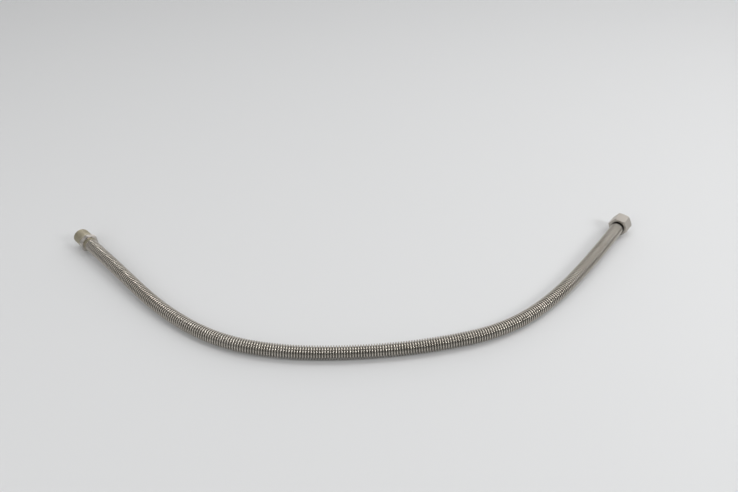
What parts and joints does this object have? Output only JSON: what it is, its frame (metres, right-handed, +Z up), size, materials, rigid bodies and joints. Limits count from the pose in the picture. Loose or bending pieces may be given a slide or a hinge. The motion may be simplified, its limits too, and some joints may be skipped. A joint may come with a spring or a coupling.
{
  "type": "vacuum bellows hose",
  "caption": "Flexible corrugated metal hose lying in a wide bend, with a fixed male threaded fitting at one end and a loose union nut over a flat-faced gland at the other.",
  "frame": {"origin": "on the floor that the hose lies on, midway between its two end fittings", "axes": "+Z up; +X from the male fitting towards the union nut; -Y the way the hose's bend bulges, so the fittings point towards +Y"},
  "size_m": [0.7747, 0.2456, 0.0254],
  "materials": {
    "hose_steel": "drawn stainless steel, satin",
    "fitting_steel": "machined stainless steel",
    "nut_nickel": "satin nickel plate",
    "gasket": "plain white fluoropolymer"
  },
  "bodies": {
    "hose": {"bellows_hose": "hose_steel", "male_fitting": "fitting_steel", "swivel_gland": "fitting_steel", "face_gasket": "gasket"},
    "nut": {"union_nut": "nut_nickel"}
  },
  "joints": [
    {"name": "nut_spin", "type": "hinge", "parent": "hose", "child": "nut", "pos_m": [0.36649, 0.00989, 0.012], "axis": [0.6186, 0.7857, 0], "continuous": true}
  ]
}
